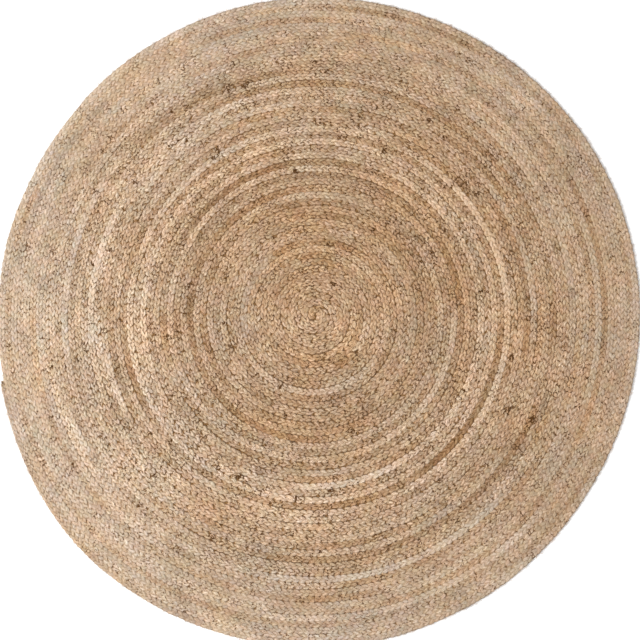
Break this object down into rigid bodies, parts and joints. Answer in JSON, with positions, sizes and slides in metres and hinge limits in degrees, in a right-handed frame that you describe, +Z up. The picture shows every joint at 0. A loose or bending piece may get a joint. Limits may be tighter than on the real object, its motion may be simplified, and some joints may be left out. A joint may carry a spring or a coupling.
{
  "type": "round braided jute rug",
  "caption": "Flat round floor rug of braided jute, wound in a spiral from the middle to the rim and sewn edge to edge.",
  "frame": {"origin": "centre of the rug's bounding box, on the underside that rests on the floor", "axes": "+Z up out of the rug's face; +Y points away from the viewer who sees the braid's tail at the lower left"},
  "size_m": [1.8182, 1.839, 0.01],
  "materials": {
    "jute": "matte natural jute yarn, warm tan with paler and more golden strands"
  },
  "bodies": {
    "root": {"jute_rug": "jute"}
  },
  "joints": []
}
